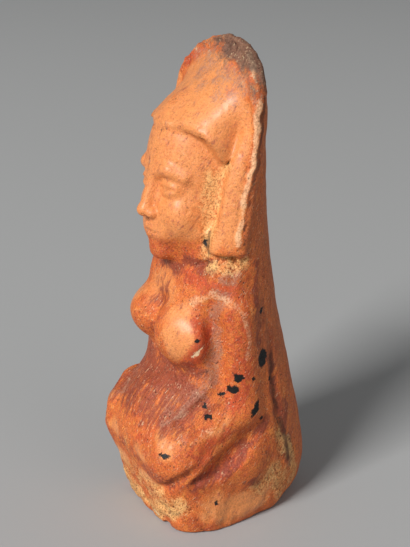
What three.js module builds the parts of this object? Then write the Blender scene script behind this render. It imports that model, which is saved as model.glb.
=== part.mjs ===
// A press-moulded terracotta figurine of a seated woman under a tall arched hood, one solid of fired clay.
// Millimetres. x runs to her left, y to her back and z up, from the middle of her box on the floor.
// Her own dimensions below count y from a line through her body a little in front of that.

import * as THREE from "three";

const CLAY = { color: 0xd9793f, roughness: 0.62, metalness: 0 };

// Driving dimensions. Curves are [height, value] knots.
const TALL = 170.4; // before the rim is rounded
const SPRING = 140; // where the hood starts to arch
const LEAN = 5.2; // of the hood's top toward her left
const HOOD_FOOT = 102;
const SIDE = [
  [0, 25.2], [6, 26.4], [16, 27], [30, 27.2], [44, 26.6], [56, 25.6], [76, 25.6], [88, 25.8],
  [97, 26], [104, 26.4], [120, 27.2], [134, 28], [150, 28.2],
];
const CHEST_SIDE = [
  [0, 25.2], [6, 26.4], [16, 27], [30, 27], [44, 25.5], [54, 23.5], [76, 23.5], [85, 24.4], [96, 24.6],
  [104, 19],
];
const WIDEST = [
  [0, -4], [10, -2], [20, 0], [32, 2], [44, 4], [58, 5], [84, 3.6], [100, 2.6], [108, 3], [114, 4],
  [120, 4.7], [125, 5.4], [130, 6.5], [134, 7], [150, 6.5], [160, 7.2], [170, 10],
];
const BACK = [
  [0, 35], [4, 39.5], [8, 42], [16, 43.3], [29, 41], [44, 36.8], [60, 33.2], [74, 29.2], [94, 25.6],
  [114, 22], [133, 19], [142, 18.4], [150, 17.2], [158, 16.4], [170, 17.6],
];
const FRONT = [
  [0, -19], [6, -21], [20, -24.8], [32, -26.4], [42, -21.6], [54, -13.5], [70, -12], [84, -11.8],
  [91, -9.6], [99, -7.6],
];
const BACK_ROUNDNESS = 2.2;
const FRONT_ROUNDNESS = [[0, 3.3], [40, 3.2], [78, 2.7], [92, 2.3]];
const RIM = { proud: 1.2, wide: 3.4 };
const CAP_EDGE = [[-17, 140.6], [-11, 142], [-5.5, 139], [1.7, 130.4], [7, 135.5], [11, 141]]; // along y
const CAP_NARROWING = [[132, 0.82], [140, 0.75], [148, 0.63], [156, 0.5], [164, 0.4]];
const LAPPET_FOOT = 101.5;
const LAPPET_OUTER = 27.8;
const LAPPET_WIDTH = [[102, 12], [108, 11.2], [113, 9.6], [118, 8.8], [126, 8.6], [133, 7.8], [140, 6.6]];
const LAPPET_FRONT = [
  [102, -4.8], [107, -4.2], [112, -2.8], [118, -1.8], [125, -0.6], [130, 0.8], [136, 3.2], [142, 5.6],
  [150, 8],
];
// Points of the grooves on her left, mirrored on her right
const SEAM = [[23.5, 17, 76], [24, 19, 62], [24.6, 20.4, 46], [25.4, 23, 26], [25, 25, 12]];
const ARMPIT = [[21.8, -5.4, 84], [22.2, -4.8, 76], [22.4, -4.4, 66], [23.4, -2.8, 56]];
const NECK = [[0, -12.6, 94.2], [8, -10.6, 94.6], [14, -7, 96], [19, -2, 98.4]];
const ARM_FOLD = [[25.2, -1.5, 53], [22.8, -7.4, 50.6], [21.4, -12.4, 46.6], [19.4, -17.6, 41.8]];
const UNDER_ARM = [[27.8, 15, 40], [28.8, 8, 35], [29.4, -0.6, 29.4], [28.8, -7.6, 25.4], [27, -13, 22.6]];
const UNDER_KNEE = [[28.6, -15.6, 27.6], [25.6, -20, 23.4], [17, -22.6, 17.4]];

// Fineness of the mesh: levels with the rows up to the next, rows of the crown, columns of half a ring
const LEVELS = [[0, 3], [6, 12], [48, 14], [90, 27], [140, 0]];
const CROWN_ROWS = 10;
const FRONT_COLUMNS = 26;
const BACK_COLUMNS = 11;
const ROUNDS = 12; // of evening out

const { clamp, lerp, degToRad, smoothstep } = THREE.MathUtils;
const SIDES = [1, -1];

// Fields: each takes a point and gives a length, negative inside the clay and near zero at its surface.

function ellipsoid([x, y, z], [cx, cy, cz], [rx, ry, rz]) {
  const u = (x - cx) / rx;
  const v = (y - cy) / ry;
  const w = (z - cz) / rz;
  const reach = Math.hypot(u, v, w);
  const slope = Math.hypot(u / rx, v / ry, w / rz);
  return (reach * (reach - 1)) / Math.max(slope, 1e-6);
}

// A limb from a to b that tapers from one radius to the other.
function limb([x, y, z], a, b, radiusA, radiusB) {
  const along = [b[0] - a[0], b[1] - a[1], b[2] - a[2]];
  const from = [x - a[0], y - a[1], z - a[2]];
  const dot = from[0] * along[0] + from[1] * along[1] + from[2] * along[2];
  const t = clamp(dot / (along[0] ** 2 + along[1] ** 2 + along[2] ** 2), 0, 1);
  const gap = Math.hypot(from[0] - t * along[0], from[1] - t * along[1], from[2] - t * along[2]);
  return gap - lerp(radiusA, radiusB, t);
}

// Two fields joined with a rounded fillet, where both hold with a rounded edge, and one cut by another.
function join(a, b, fillet) {
  const h = Math.max(fillet - Math.abs(a - b), 0) / fillet;
  return Math.min(a, b) - (h * h * fillet) / 4;
}
const meet = (a, b, fillet) => -join(-a, -b, fillet);
const cut = (a, tool, fillet) => meet(a, -tool, fillet);

// A smooth curve through [place, value] knots.
function curve(knots, place) {
  const last = knots.length - 1;
  if (place <= knots[0][0]) return knots[0][1];
  if (place >= knots[last][0]) return knots[last][1];
  const i = knots.findIndex(([at]) => at > place) - 1;
  const slope = (k) => {
    const [from, low] = knots[Math.max(k - 1, 0)];
    const [to, high] = knots[Math.min(k + 1, last)];
    return (high - low) / (to - from);
  };
  const [from, low] = knots[i];
  const [to, high] = knots[i + 1];
  const span = to - from;
  const t = (place - from) / span;
  const eased = t * t * (3 - 2 * t);
  return lerp(low, high, eased) + span * t * (t - 1) * ((t - 1) * slope(i) + t * slope(i + 1));
}

// How far a level section reaches beyond a rounded half, from its widest line to a depth.
function beyondSection(x, depth, halfWidth, fullDepth, roundness) {
  const u = Math.abs(x) / halfWidth;
  const v = Math.max(depth, 0) / fullDepth;
  const reach = Math.max((u ** roundness + v ** roundness) ** (1 / roundness), 1e-3);
  const across = (u / reach) ** (roundness - 1) / halfWidth;
  const deep = (v / reach) ** (roundness - 1) / fullDepth;
  return (reach - 1) / Math.max(Math.hypot(across, deep), 0.01);
}

// The body from the floor to the neck, her back and the hood behind her head

function back([x, y, z]) {
  const widest = curve(WIDEST, z);
  const rise = clamp((z - SPRING) / (TALL - SPRING), 0, 2);
  const deep = curve(BACK, z) - widest;
  const across = Math.abs(x - LEAN * rise) / curve(SIDE, z);
  const arch = Math.max((across ** BACK_ROUNDNESS + rise ** BACK_ROUNDNESS) ** (1 / BACK_ROUNDNESS), 1e-3);
  const level = (across / arch) ** (BACK_ROUNDNESS - 1) / curve(SIDE, z);
  const upright = (rise / arch) ** (BACK_ROUNDNESS - 1) / (TALL - SPRING);
  const halfWidth = 1 / Math.max(Math.hypot(level, upright), 0.01);
  const shell = beyondSection(arch * halfWidth, y - widest, halfWidth, deep, BACK_ROUNDNESS + 0.8 * rise);
  const face = widest + RIM.proud * smoothstep(-shell, 0.8, RIM.wide) - 4 * smoothstep(HOOD_FOOT - z, 4, 20);
  return meet(shell, face - y, 3);
}

function front([x, y, z]) {
  const widest = curve(WIDEST, z);
  const deep = widest - curve(FRONT, z);
  const body = beyondSection(x, widest - y, curve(CHEST_SIDE, z), deep, curve(FRONT_ROUNDNESS, z));
  return meet(body, Math.max(y - widest - 1, z - 106), 2);
}

// Head

function cap([x, y, z]) {
  const across = (x - LEAN * smoothstep(z, 132, TALL)) * curve(CAP_NARROWING, z);
  const dome = limb([across, y, z], [0, 1.9, 135.5], [0, 13.8, 154.5], 16.7, 10.4);
  return meet(meet(dome, curve(CAP_EDGE, y) - 0.4 - z, 4.5), y - curve(WIDEST, z) - 3, 3);
}

function lappet([x, y, z], side) {
  const root = curve(WIDEST, z) + 1.5;
  const forward = Math.max(root - curve(LAPPET_FRONT, z), 0.3);
  const halfWidth = curve(LAPPET_WIDTH, z) / 2;
  const across = side * x - LAPPET_OUTER + halfWidth;
  const slant = 0.6 * Math.max(across, 0);
  const bar = beyondSection(across, root - y + slant, halfWidth, forward, 2.8);
  return meet(meet(bar, LAPPET_FOOT - z, 3), Math.max(y - root - 1, z - 150), 2);
}

function head(p) {
  const skull = ellipsoid(p, [0, 2.9, 127], [17.4, 19.1, 27]);
  let flesh = join(skull, ellipsoid(p, [0, 0, 108], [14.8, 16, 13]), 8);
  for (const side of SIDES) {
    flesh = join(flesh, ellipsoid(p, [side * 8.2, -9.6, 112.6], [6.5, 5.5, 7]), 4);
    flesh = join(flesh, limb(p, [side * 3, -15, 126.8], [side * 11.4, -11.4, 127.2], 1.6, 1.3), 3);
    flesh = cut(flesh, ellipsoid(p, [side * 7, -17.8, 122.2], [5.2, 4.4, 3.9]), 2.4);
    flesh = join(flesh, ellipsoid(p, [side * 7, -11.6, 121.7], [4.6, 3.8, 2.6]), 1);
    flesh = join(flesh, limb(p, [side * 16.4, 6.4, 134], [side * 16.4, 4.6, 106], 4.6, 5.5), 3);
  }
  flesh = join(flesh, limb(p, [0, -14.8, 127], [0, -19, 113.8], 1.5, 2.3), 2);
  for (const side of SIDES) flesh = join(flesh, ellipsoid(p, [side * 2.8, -16.6, 112.9], [1.9, 2.7, 1.8]), 1);
  flesh = join(flesh, ellipsoid(p, [0, -13.8, 106.4], [7.4, 3.2, 4.8]), 3);
  flesh = join(flesh, ellipsoid(p, [0, -15.2, 107.8], [5.6, 2.4, 1.3]), 0.8);
  flesh = join(flesh, ellipsoid(p, [0, -15.2, 105], [4.8, 2.4, 1.5]), 0.8);
  return join(flesh, ellipsoid(p, [0, -12, 99.4], [5.4, 4.2, 3.9]), 3);
}

// Chest, arms and legs

// Her right breast lies a little higher than her left.
function breast(p, side) {
  const [height, tall] = side > 0 ? [70.8, 11] : [72.8, 9];
  const outer = ellipsoid(p, [side * 11.4, -8, height], [11.8, 9, tall]);
  return join(outer, ellipsoid(p, [side * 8.6, -10, height + 0.3], [9.4, 9, tall - 0.6]), 3);
}

// Her right forearm and hand lie a little higher than her left.
function arm(p, side) {
  const lift = side > 0 ? 0 : 5;
  const shoulder = limb(p, [side * 8, 2, 92], [side * 19, 4.5, 83], 8, 7.6);
  const upper = limb(p, [side * 21.5, 4.5, 79], [side * 22, 7, 46], 6.6, 6.4);
  const fore = limb(p, [side * 22.4, 7, 44.5], [side * 22.4, -12, 36 + lift], 6, 5.2);
  const hand = limb(p, [side * 21.6, -13, 35.4 + lift], [side * 18.8, -19.5, 31 + lift], 5.4, 5.2);
  return join(join(join(upper, shoulder, 3), fore, 3), hand, 3);
}

function lap(p) {
  const belly = ellipsoid(p, [0, -9, 35], [17, 17.5, 19]);
  const knees = SIDES.map((side) => limb(p, [side * 17, 6, 24], [side * 17.5, -15, 29], 12, 11));
  return join(belly, Math.min(...knees), 5);
}

// A groove pressed along a line of points, on one side of her
function groove([x, y, z], line, side, radius) {
  const p = [side * x, y, z];
  let nearest = Infinity;
  for (let i = 1; i < line.length; i++) {
    nearest = Math.min(nearest, limb(p, line[i - 1], line[i], radius, radius));
  }
  return nearest;
}

function figurine(p) {
  let clay = join(join(back(p), cap(p), 6), join(front(p), head(p), 6), 2.2);
  clay = join(clay, lap(p), 4);
  for (const side of SIDES) {
    clay = join(clay, lappet(p, side), 3);
    clay = join(clay, breast(p, side), 4);
    clay = join(clay, arm(p, side), 3.2);
  }
  for (const side of SIDES) {
    clay = cut(clay, groove(p, SEAM, side, 2), 2);
    clay = cut(clay, groove(p, ARMPIT, side, 1.6), 5);
    clay = cut(clay, groove(p, NECK, side, 1.1), 2.4);
    clay = cut(clay, groove(p, ARM_FOLD, side, side > 0 ? 1.8 : 0.6), 3);
    clay = cut(clay, groove(p, UNDER_ARM, side, 4), 3);
    clay = cut(clay, groove(p, UNDER_KNEE, side, 2.2), 4);
  }
  return clay;
}

// Surface: rays spread from a spine inside her, level up to the hood and then closing over its crown.
// In each ring they run from her front to the hood's rim and on to her back.

const SPINE = [[0, 6], [60, 6], [96, 8], [112, 12], [130, 13], [140, 14]];
const REACH = 60;

const direction = (x, y, z) => new THREE.Vector3(x, y, z).normalize();

// Turns from one direction to another, a fraction of the way.
function between(from, to, fraction) {
  const angle = from.angleTo(to);
  const a = Math.sin((1 - fraction) * angle) / Math.sin(angle);
  const b = Math.sin(fraction * angle) / Math.sin(angle);
  return from.clone().multiplyScalar(a).addScaledVector(to, b);
}

function surfacePoint(origin, ray) {
  const at = (r) => [origin[0] + r * ray.x, origin[1] + r * ray.y, origin[2] + r * ray.z];
  let outside = REACH;
  while (figurine(at(outside - 1)) > 0 && outside > 1) outside -= 1;
  let inside = outside - 1;
  for (let i = 0; i < 14; i++) {
    const middle = (inside + outside) / 2;
    if (figurine(at(middle)) > 0) outside = middle;
    else inside = middle;
  }
  return at((inside + outside) / 2);
}

// Fractions from the front to the rim, closest at both ends, and from the rim to the back.
const FRONT_FRACTIONS = Array.from({ length: FRONT_COLUMNS }, (_, i) => {
  const t = i / FRONT_COLUMNS;
  return t - 0.035 * Math.sin(2 * Math.PI * t);
});
const BACK_FRACTIONS = Array.from({ length: BACK_COLUMNS }, (_, i) => (i / BACK_COLUMNS) ** 1.25);

function ring(origin, ahead, rims, behind) {
  const [left, right] = rims.map((rim) => [
    ...FRONT_FRACTIONS.map((t) => between(ahead, rim, t)),
    ...BACK_FRACTIONS.map((t) => between(rim, behind, t)),
  ]);
  return [...left, behind, ...right.slice(1).reverse()].map((ray) => surfacePoint(origin, ray));
}

function levelRing(height) {
  const origin = [0, curve(SPINE, height), height];
  const rims = SIDES.map((side) => {
    const rim = direction(side * curve(SIDE, height), curve(WIDEST, height) - origin[1], 0);
    return between(direction(side, 0, 0), rim, Math.max(smoothstep(height, 88, 104), 0.001));
  });
  return ring(origin, direction(0, -1, 0), rims, direction(0, 1, 0));
}

const CROWN = [0, curve(SPINE, SPRING), SPRING];
const APEX = direction(LEAN, curve(WIDEST, TALL) + 2 - CROWN[1], TALL - SPRING);

function crownRing(turn) {
  const angle = degToRad(90 * turn);
  const rise = Math.sin(angle);
  const height = lerp(SPRING, TALL, rise);
  const rims = SIDES.map((side) => {
    const across = side * curve(SIDE, height) * Math.cos(angle) + LEAN * rise;
    return direction(across, curve(WIDEST, height) - CROWN[1], height - SPRING);
  });
  const ahead = between(direction(0, -1, 0), APEX, turn);
  const behind = between(direction(0, 1, 0), APEX, turn);
  return ring(CROWN, ahead, rims, behind);
}

// How far outside her a point is, and which way is out
function slope(p) {
  const step = 0.06;
  const here = figurine(p.toArray());
  const out = new THREE.Vector3(
    figurine([p.x + step, p.y, p.z]) - here,
    figurine([p.x, p.y + step, p.z]) - here,
    figurine([p.x, p.y, p.z + step]) - here,
  ).divideScalar(step);
  const size = Math.max(out.length(), 0.2);
  return { outside: here / size, out: out.divideScalar(size) };
}

// Moves a point toward the mean of the points around it, along her surface.
function eased(point, around) {
  const p = new THREE.Vector3(...point);
  const pull = new THREE.Vector3();
  for (const other of around) pull.add(new THREE.Vector3(...other).sub(p).divideScalar(around.length));
  const { outside, out } = slope(p);
  pull.addScaledVector(out, -pull.dot(out));
  return p.addScaledVector(pull, 0.6).addScaledVector(out, -outside).toArray();
}

// Evens out the spacing of the rings between the lowest and the topmost.
function relaxed(rings) {
  return rings.map((ring, row) => {
    const below = rings[row - 1];
    const above = rings[row + 1];
    if (!below || !above) return ring;
    return ring.map((point, i) => {
      const beside = [ring.at(i - 1), ring[(i + 1) % ring.length]];
      return eased(point, [...beside, below[i], above[i]]);
    });
  });
}

const gap = ([ax, ay, az], [bx, by, bz]) => Math.hypot(ax - bx, ay - by, az - bz);

// The rings joined up, each patch between them split along its shorter diagonal
function sculpt() {
  let rings = [];
  for (let k = 0; k < LEVELS.length - 1; k++) {
    const [from, rows] = LEVELS[k];
    for (let i = 0; i < rows; i++) rings.push(levelRing(lerp(from, LEVELS[k + 1][0], i / rows)));
  }
  rings.push(levelRing(SPRING));
  for (let i = 1; i <= CROWN_ROWS; i++) rings.push(crownRing(1 - (1 - i / (CROWN_ROWS + 1)) ** 1.3));
  for (let round = 0; round < ROUNDS; round++) rings = relaxed(rings);
  const columns = rings[0].length;
  const points = [[0, curve(SPINE, 0), 0], ...rings.flat(), surfacePoint(CROWN, APEX)];
  const faces = [];
  const index = (row, i) => 1 + row * columns + (i % columns);
  for (let i = 0; i < columns; i++) {
    faces.push(0, index(0, i + 1), index(0, i));
    for (let row = 0; row < rings.length - 1; row++) {
      const [a, b] = [index(row, i), index(row, i + 1)];
      const [c, d] = [index(row + 1, i + 1), index(row + 1, i)];
      if (gap(points[a], points[c]) < gap(points[b], points[d])) faces.push(a, b, c, a, c, d);
      else faces.push(a, b, d, b, c, d);
    }
    faces.push(index(rings.length - 1, i), index(rings.length - 1, i + 1), points.length - 1);
  }
  return new THREE.BufferGeometry()
    .setAttribute("position", new THREE.Float32BufferAttribute(points.flat(), 3))
    .setIndex(faces);
}

// Her box stands with the middle of its underside at the origin.
function centred(geometry) {
  geometry.computeBoundingBox();
  const middle = geometry.boundingBox.getCenter(new THREE.Vector3());
  return geometry.translate(-middle.x, -middle.y, -geometry.boundingBox.min.z);
}

const group = new THREE.Group();
const body = new THREE.Mesh(centred(sculpt()), new THREE.MeshStandardMaterial(CLAY));
body.name = "figurine";
group.add(body);

export default group;
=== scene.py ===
"""A press-moulded terracotta figurine of a seated woman under a tall arched hood, on a pale studio floor.

Her shape is worked out in millimetres: x runs to her left, y to her back and z up.
"""

import bpy
import numpy as np
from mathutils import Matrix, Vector


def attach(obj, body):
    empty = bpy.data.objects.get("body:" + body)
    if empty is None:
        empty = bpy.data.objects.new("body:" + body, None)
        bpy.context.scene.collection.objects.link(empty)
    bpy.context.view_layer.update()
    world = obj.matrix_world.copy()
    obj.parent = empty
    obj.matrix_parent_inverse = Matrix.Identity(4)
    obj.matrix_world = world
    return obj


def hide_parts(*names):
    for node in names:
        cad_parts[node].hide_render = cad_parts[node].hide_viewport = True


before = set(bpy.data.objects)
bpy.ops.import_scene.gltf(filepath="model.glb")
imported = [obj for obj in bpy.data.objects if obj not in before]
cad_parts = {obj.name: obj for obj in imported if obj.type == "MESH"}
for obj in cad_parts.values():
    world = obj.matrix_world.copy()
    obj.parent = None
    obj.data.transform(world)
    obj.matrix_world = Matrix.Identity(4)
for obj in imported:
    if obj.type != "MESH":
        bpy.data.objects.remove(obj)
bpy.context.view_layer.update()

MM = 0.001
MIDDLE = 7.977  # from her own zero line back to the middle of her depth

# Her main dimensions. Curves are (height, value) knots unless a comment says otherwise.
TALL = 170.4
SPRING = 140.0  # where the hood starts to arch
LEAN = 5.2  # of the hood's top toward her left
HOOD_FOOT = 102.0
RIM_PROUD = 1.2
RIM_WIDE = 3.4
LAPPET_FOOT = 101.5
LAPPET_OUTER = 27.8
BACK_ROUNDNESS = 2.2


def curve(*knots):
    """A smooth curve through (place, value) knots."""
    places, values = np.array(knots, float).T
    slopes = np.empty_like(values)
    slopes[1:-1] = (values[2:] - values[:-2]) / (places[2:] - places[:-2])
    slopes[0] = (values[1] - values[0]) / (places[1] - places[0])
    slopes[-1] = (values[-1] - values[-2]) / (places[-1] - places[-2])
    fine = np.linspace(places[0], places[-1], 1500)
    i = np.clip(np.searchsorted(places, fine, "right") - 1, 0, len(places) - 2)
    span = places[i + 1] - places[i]
    t = (fine - places[i]) / span
    table = values[i] + (values[i + 1] - values[i]) * t * t * (3 - 2 * t)
    table += span * t * (t - 1) * ((t - 1) * slopes[i] + t * slopes[i + 1])
    return lambda place: np.interp(place, fine, table)


side = curve(
    (0, 25.2), (6, 26.4), (16, 27), (30, 27.2), (44, 26.6), (56, 25.6), (76, 25.6), (88, 25.8),
    (97, 26), (104, 26.4), (120, 27.2), (134, 28), (150, 28.2),
)
chest_side = curve(
    (0, 25.2), (6, 26.4), (16, 27), (30, 27), (44, 25.5), (54, 23.5), (76, 23.5), (85, 24.4),
    (96, 24.6), (104, 19),
)
widest = curve(
    (0, -4), (10, -2), (20, 0), (32, 2), (44, 4), (58, 5), (84, 3.6), (100, 2.6), (108, 3), (114, 4),
    (120, 4.7), (125, 5.4), (130, 6.5), (134, 7), (150, 6.5), (160, 7.2), (170, 10),
)
back_line = curve(
    (0, 35), (4, 39.5), (8, 42), (16, 43.3), (29, 41), (44, 36.8), (60, 33.2), (74, 29.2), (94, 25.6),
    (114, 22), (133, 19), (142, 18.4), (150, 17.2), (158, 16.4), (170, 17.6),
)
front_line = curve(
    (0, -19), (6, -21), (20, -24.8), (32, -26.4), (42, -21.6), (54, -13.5), (70, -12), (84, -11.8),
    (91, -9.6), (99, -7.6),
)
front_roundness = curve((0, 3.3), (40, 3.2), (78, 2.7), (92, 2.3))
cap_edge = curve((-17, 140.6), (-11, 142), (-5.5, 139), (1.7, 130.4), (7, 135.5), (11, 141))  # along y
cap_narrowing = curve((132, 0.82), (140, 0.75), (148, 0.63), (156, 0.5), (164, 0.4))
lappet_width = curve((102, 12), (108, 11.2), (113, 9.6), (118, 8.8), (126, 8.6), (133, 7.8), (140, 6.6))
lappet_front = curve(
    (102, -4.8), (107, -4.2), (112, -2.8), (118, -1.8), (125, -0.6), (130, 0.8), (136, 3.2),
    (142, 5.6), (150, 8),
)
spine = curve((0, 6), (60, 6), (96, 8), (112, 12), (130, 13), (140, 14))

# The lines of her grooves, on her left and mirrored on her right
SEAM = [(23.5, 17, 76), (24, 19, 62), (24.6, 20.4, 46), (25.4, 23, 26), (25, 25, 12)]
ARMPIT = [(21.8, -5.4, 84), (22.2, -4.8, 76), (22.4, -4.4, 66), (23.4, -2.8, 56)]
ARM_TOP = [(20.4, -6.6, 87.4), (21.8, -5.1, 88.6), (24.7, -1.8, 87.8), (27.1, 0.4, 86), (28.6, 4.2, 82)]
NECK = [(0, -12.6, 94.2), (8, -10.6, 94.6), (14, -7, 96), (19, -2, 98.4)]
CAP_GROOVE = [
    (0, -13.4, 140.4), (4.3, -12.9, 141.2), (8.2, -11.6, 141.6), (12.2, -9.4, 140.8), (15.4, -7.4, 139.4),
    (17.4, -5.2, 137.2), (18.9, -2.2, 133.4), (19.9, 1, 130.6), (21.4, 3, 133.6), (22.2, 5.3, 136.8),
]
ARM_FOLD = [(25.2, -1.5, 53), (22.8, -7.4, 50.6), (21.4, -12.4, 46.6), (19.4, -17.6, 41.8)]
UNDER_ARM = [(27.8, 15, 40), (28.8, 8, 35), (29.4, -0.6, 29.4), (28.8, -7.6, 25.4), (27, -13, 22.6)]
UNDER_KNEE = [(28.6, -15.6, 27.6), (25.6, -20, 23.4), (17, -22.6, 17.4)]


# Shapes: each gives, for points, how far they are outside it, negative inside, and the box that it fills.


class Shape:
    def __init__(self, outside, low, high):
        self.outside = outside
        self.low = np.asarray(low, float)
        self.high = np.asarray(high, float)


def ellipsoid(centre, radii):
    centre = np.array(centre, float)[:, None]
    radii = np.array(radii, float)[:, None]

    def outside(points):
        part = (points - centre) / radii
        reach = np.sqrt((part**2).sum(0))
        slope = np.sqrt(((part / radii) ** 2).sum(0))
        return reach * (reach - 1) / np.maximum(slope, 1e-6)

    return Shape(outside, (centre - radii)[:, 0], (centre + radii)[:, 0])


def limb(a, b, radius_a, radius_b=None):
    """A rounded limb from a to b that tapers from one radius to the other."""
    a = np.array(a, float)
    b = np.array(b, float)
    radius_b = radius_a if radius_b is None else radius_b
    along = b - a

    def outside(points):
        rise = points - a[:, None]
        t = np.clip(along @ rise / (along @ along), 0, 1)
        gap = np.sqrt(((rise - along[:, None] * t) ** 2).sum(0))
        return gap - (radius_a + (radius_b - radius_a) * t)

    wide = max(radius_a, radius_b)
    return Shape(outside, np.minimum(a, b) - wide, np.maximum(a, b) + wide)


def groove(line, hand, radius):
    """A groove's tool: limbs along a line of points, on one side of her, running out at both ends."""
    line = np.array(line, float) * (hand, 1, 1)
    radii = radius * np.sin(np.linspace(0.12, np.pi - 0.12, len(line))) ** 0.5
    limbs = [limb(a, b, ra, rb) for a, b, ra, rb in zip(line[:-1], line[1:], radii[:-1], radii[1:])]

    def outside(points):
        return np.minimum.reduce([each.outside(points) for each in limbs])

    return Shape(outside, line.min(0) - radius, line.max(0) + radius)


def join(a, b, fillet):
    h = np.maximum(fillet - np.abs(a - b), 0) / fillet
    return np.minimum(a, b) - h * h * fillet / 4


def meet(a, b, fillet):
    return -join(-a, -b, fillet)


def smooth(value, low, high):
    t = np.clip((value - low) / (high - low), 0, 1)
    return t * t * (3 - 2 * t)


def bump(value, centre, width):
    return np.exp(-(((value - centre) / width) ** 2))


def beyond_section(x, depth, half_width, full_depth, roundness):
    """How far points lie outside a rounded half section, which runs from its widest line to a depth."""
    u = np.abs(x) / half_width
    v = np.maximum(depth, 0) / full_depth
    reach = np.maximum((u**roundness + v**roundness) ** (1 / roundness), 1e-3)
    across = (u / reach) ** (roundness - 1) / half_width
    deep = (v / reach) ** (roundness - 1) / full_depth
    return (reach - 1) / np.maximum(np.hypot(across, deep), 0.01)


# The body from the floor to the neck, her back and the hood behind her head


def back(points):
    x, y, z = points
    line = widest(z)
    rise = np.clip((z - SPRING) / (TALL - SPRING), 0, 2)
    deep = back_line(z) - line
    across = np.abs(x - LEAN * rise) / side(z)
    arch = np.maximum((across**BACK_ROUNDNESS + rise**BACK_ROUNDNESS) ** (1 / BACK_ROUNDNESS), 1e-3)
    level = (across / arch) ** (BACK_ROUNDNESS - 1) / side(z)
    upright = (rise / arch) ** (BACK_ROUNDNESS - 1) / (TALL - SPRING)
    half_width = 1 / np.maximum(np.hypot(level, upright), 0.01)
    shell = beyond_section(arch * half_width, y - line, half_width, deep, BACK_ROUNDNESS + 0.8 * rise)
    face = line + RIM_PROUD * smooth(-shell, 0.8, RIM_WIDE) - 4 * smooth(HOOD_FOOT - z, 4, 20)
    return meet(shell, face - y, 2)


def front(points):
    x, y, z = points
    line = widest(z)
    body = beyond_section(x, line - y, chest_side(z), line - front_line(z), front_roundness(z))
    return meet(body, np.maximum(y - line - 1, z - 106), 2)


def cap_shape():
    dome = limb((0, 1.9, 135.5), (0, 13.8, 154.5), 16.7, 10.4)

    def outside(points):
        x, y, z = points
        above = z - cap_edge(y)
        bead = 0.45 * bump(y, -6, 5) * bump(above, 1.4, 1.3) + 0.6 * bump(y, 1.5, 6) * bump(above, 2.5, 5)
        lean = LEAN * smooth(z, 132, TALL)
        shell = dome.outside(np.array([(x - lean) * cap_narrowing(z), y, z])) - bead
        return meet(meet(shell, -above, 1.2), y - widest(z) - 3, 3)

    return Shape(outside, (-30, -20, 127), (34, 14, 172))


def lappet(hand):
    def outside(points):
        x, y, z = points
        root = widest(z) + 1.5
        forward = np.maximum(root - lappet_front(z), 0.3)
        half = lappet_width(z) / 2
        across = hand * x - LAPPET_OUTER + half
        slant = 0.6 * np.maximum(across, 0)
        bar = beyond_section(across, root - y + slant, half, forward, 2.8)
        return meet(meet(bar, LAPPET_FOOT - z, 2), np.maximum(y - root - 1, z - 150), 2)

    low, high = sorted((hand * 12.0, hand * 28.0))
    return Shape(outside, (low, -8, LAPPET_FOOT - 1), (high, 14, 151))


def eye(hand):
    """Her eyeball, and the lids around it with their almond-shaped opening."""
    centre = (hand * 6.9, -10.3, 121.9)
    ball = ellipsoid(centre, (4.8, 4.4, 4.1))
    lids = ellipsoid(centre, (5.5, 5.0, 4.7))

    def lids_outside(points):
        x, _, z = points
        across = (hand * x - 7.1) / 4.3
        arch = np.maximum(1 - across**2, -1)
        upper = 121.9 + 1.25 * arch + 0.25 * across
        lower = 121.5 - 0.95 * arch + 0.25 * across
        opening = np.maximum(z - upper, lower - z)
        return meet(lids.outside(points), -opening, 0.4)

    return ball, Shape(lids_outside, lids.low, lids.high)


def head(clay):
    clay.add(ellipsoid((0, 2.9, 127), (17.4, 19.1, 27)), 8)
    clay.add(ellipsoid((0, 0, 108), (14.8, 16, 13)), 8)
    for hand in (1, -1):
        clay.add(ellipsoid((hand * 8.2, -9.6, 112.6), (6.5, 5.5, 7)), 4)
        clay.add(limb((hand * 3, -14.8, 126.6), (hand * 7.6, -13.7, 128), 1.5, 1.4), 3)
        clay.add(limb((hand * 7.6, -13.7, 128), (hand * 12.6, -10.2, 126.2), 1.4, 1.0), 3)
        clay.cut(ellipsoid((hand * 7, -17.8, 122.2), (5.2, 4.4, 3.9)), 2.6)
        ball, lids = eye(hand)
        clay.add(ball, 0.5)
        clay.add(lids, 0.9)
        clay.add(limb((hand * 16.4, 6.4, 134), (hand * 16.4, 4.6, 106), 4.6, 5.5), 3)
    clay.add(limb((0, -14.6, 127), (0, -18.4, 114.4), 1.5, 2.1), 2.4)
    clay.add(ellipsoid((0, -18.7, 113.7), (2.5, 2.6, 2.2)), 1.2)
    for hand in (1, -1):
        clay.add(ellipsoid((hand * 2.8, -16.6, 112.9), (1.9, 2.7, 1.8)), 1)
    clay.add(ellipsoid((0, -13.8, 106.4), (7.4, 3.2, 4.8)), 3)
    for hand in (1, -1):
        clay.cut(ellipsoid((hand * 1.7, -18.2, 111.4), (0.8, 1.4, 0.7)), 0.6)
        clay.add(limb((hand * 1.1, -16.7, 107.9), (hand * 5.4, -14.6, 106.7), 1.15, 0.35), 0.9)
        clay.add(limb((0, -16.6, 105), (hand * 4.6, -14.8, 105.8), 1.35, 0.45), 0.9)
        clay.cut(limb((0, -18, 106.4), (hand * 5.9, -15, 106.3), 0.3), 0.6)
    clay.cut(limb((0, -17.9, 110.8), (0, -18, 109.2), 0.5), 0.9)
    clay.cut(ellipsoid((0, -18, 102.6), (4.8, 1.6, 1.3)), 1.8)
    clay.add(ellipsoid((0, -12, 99.4), (5.4, 4.2, 3.9)), 3)


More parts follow.
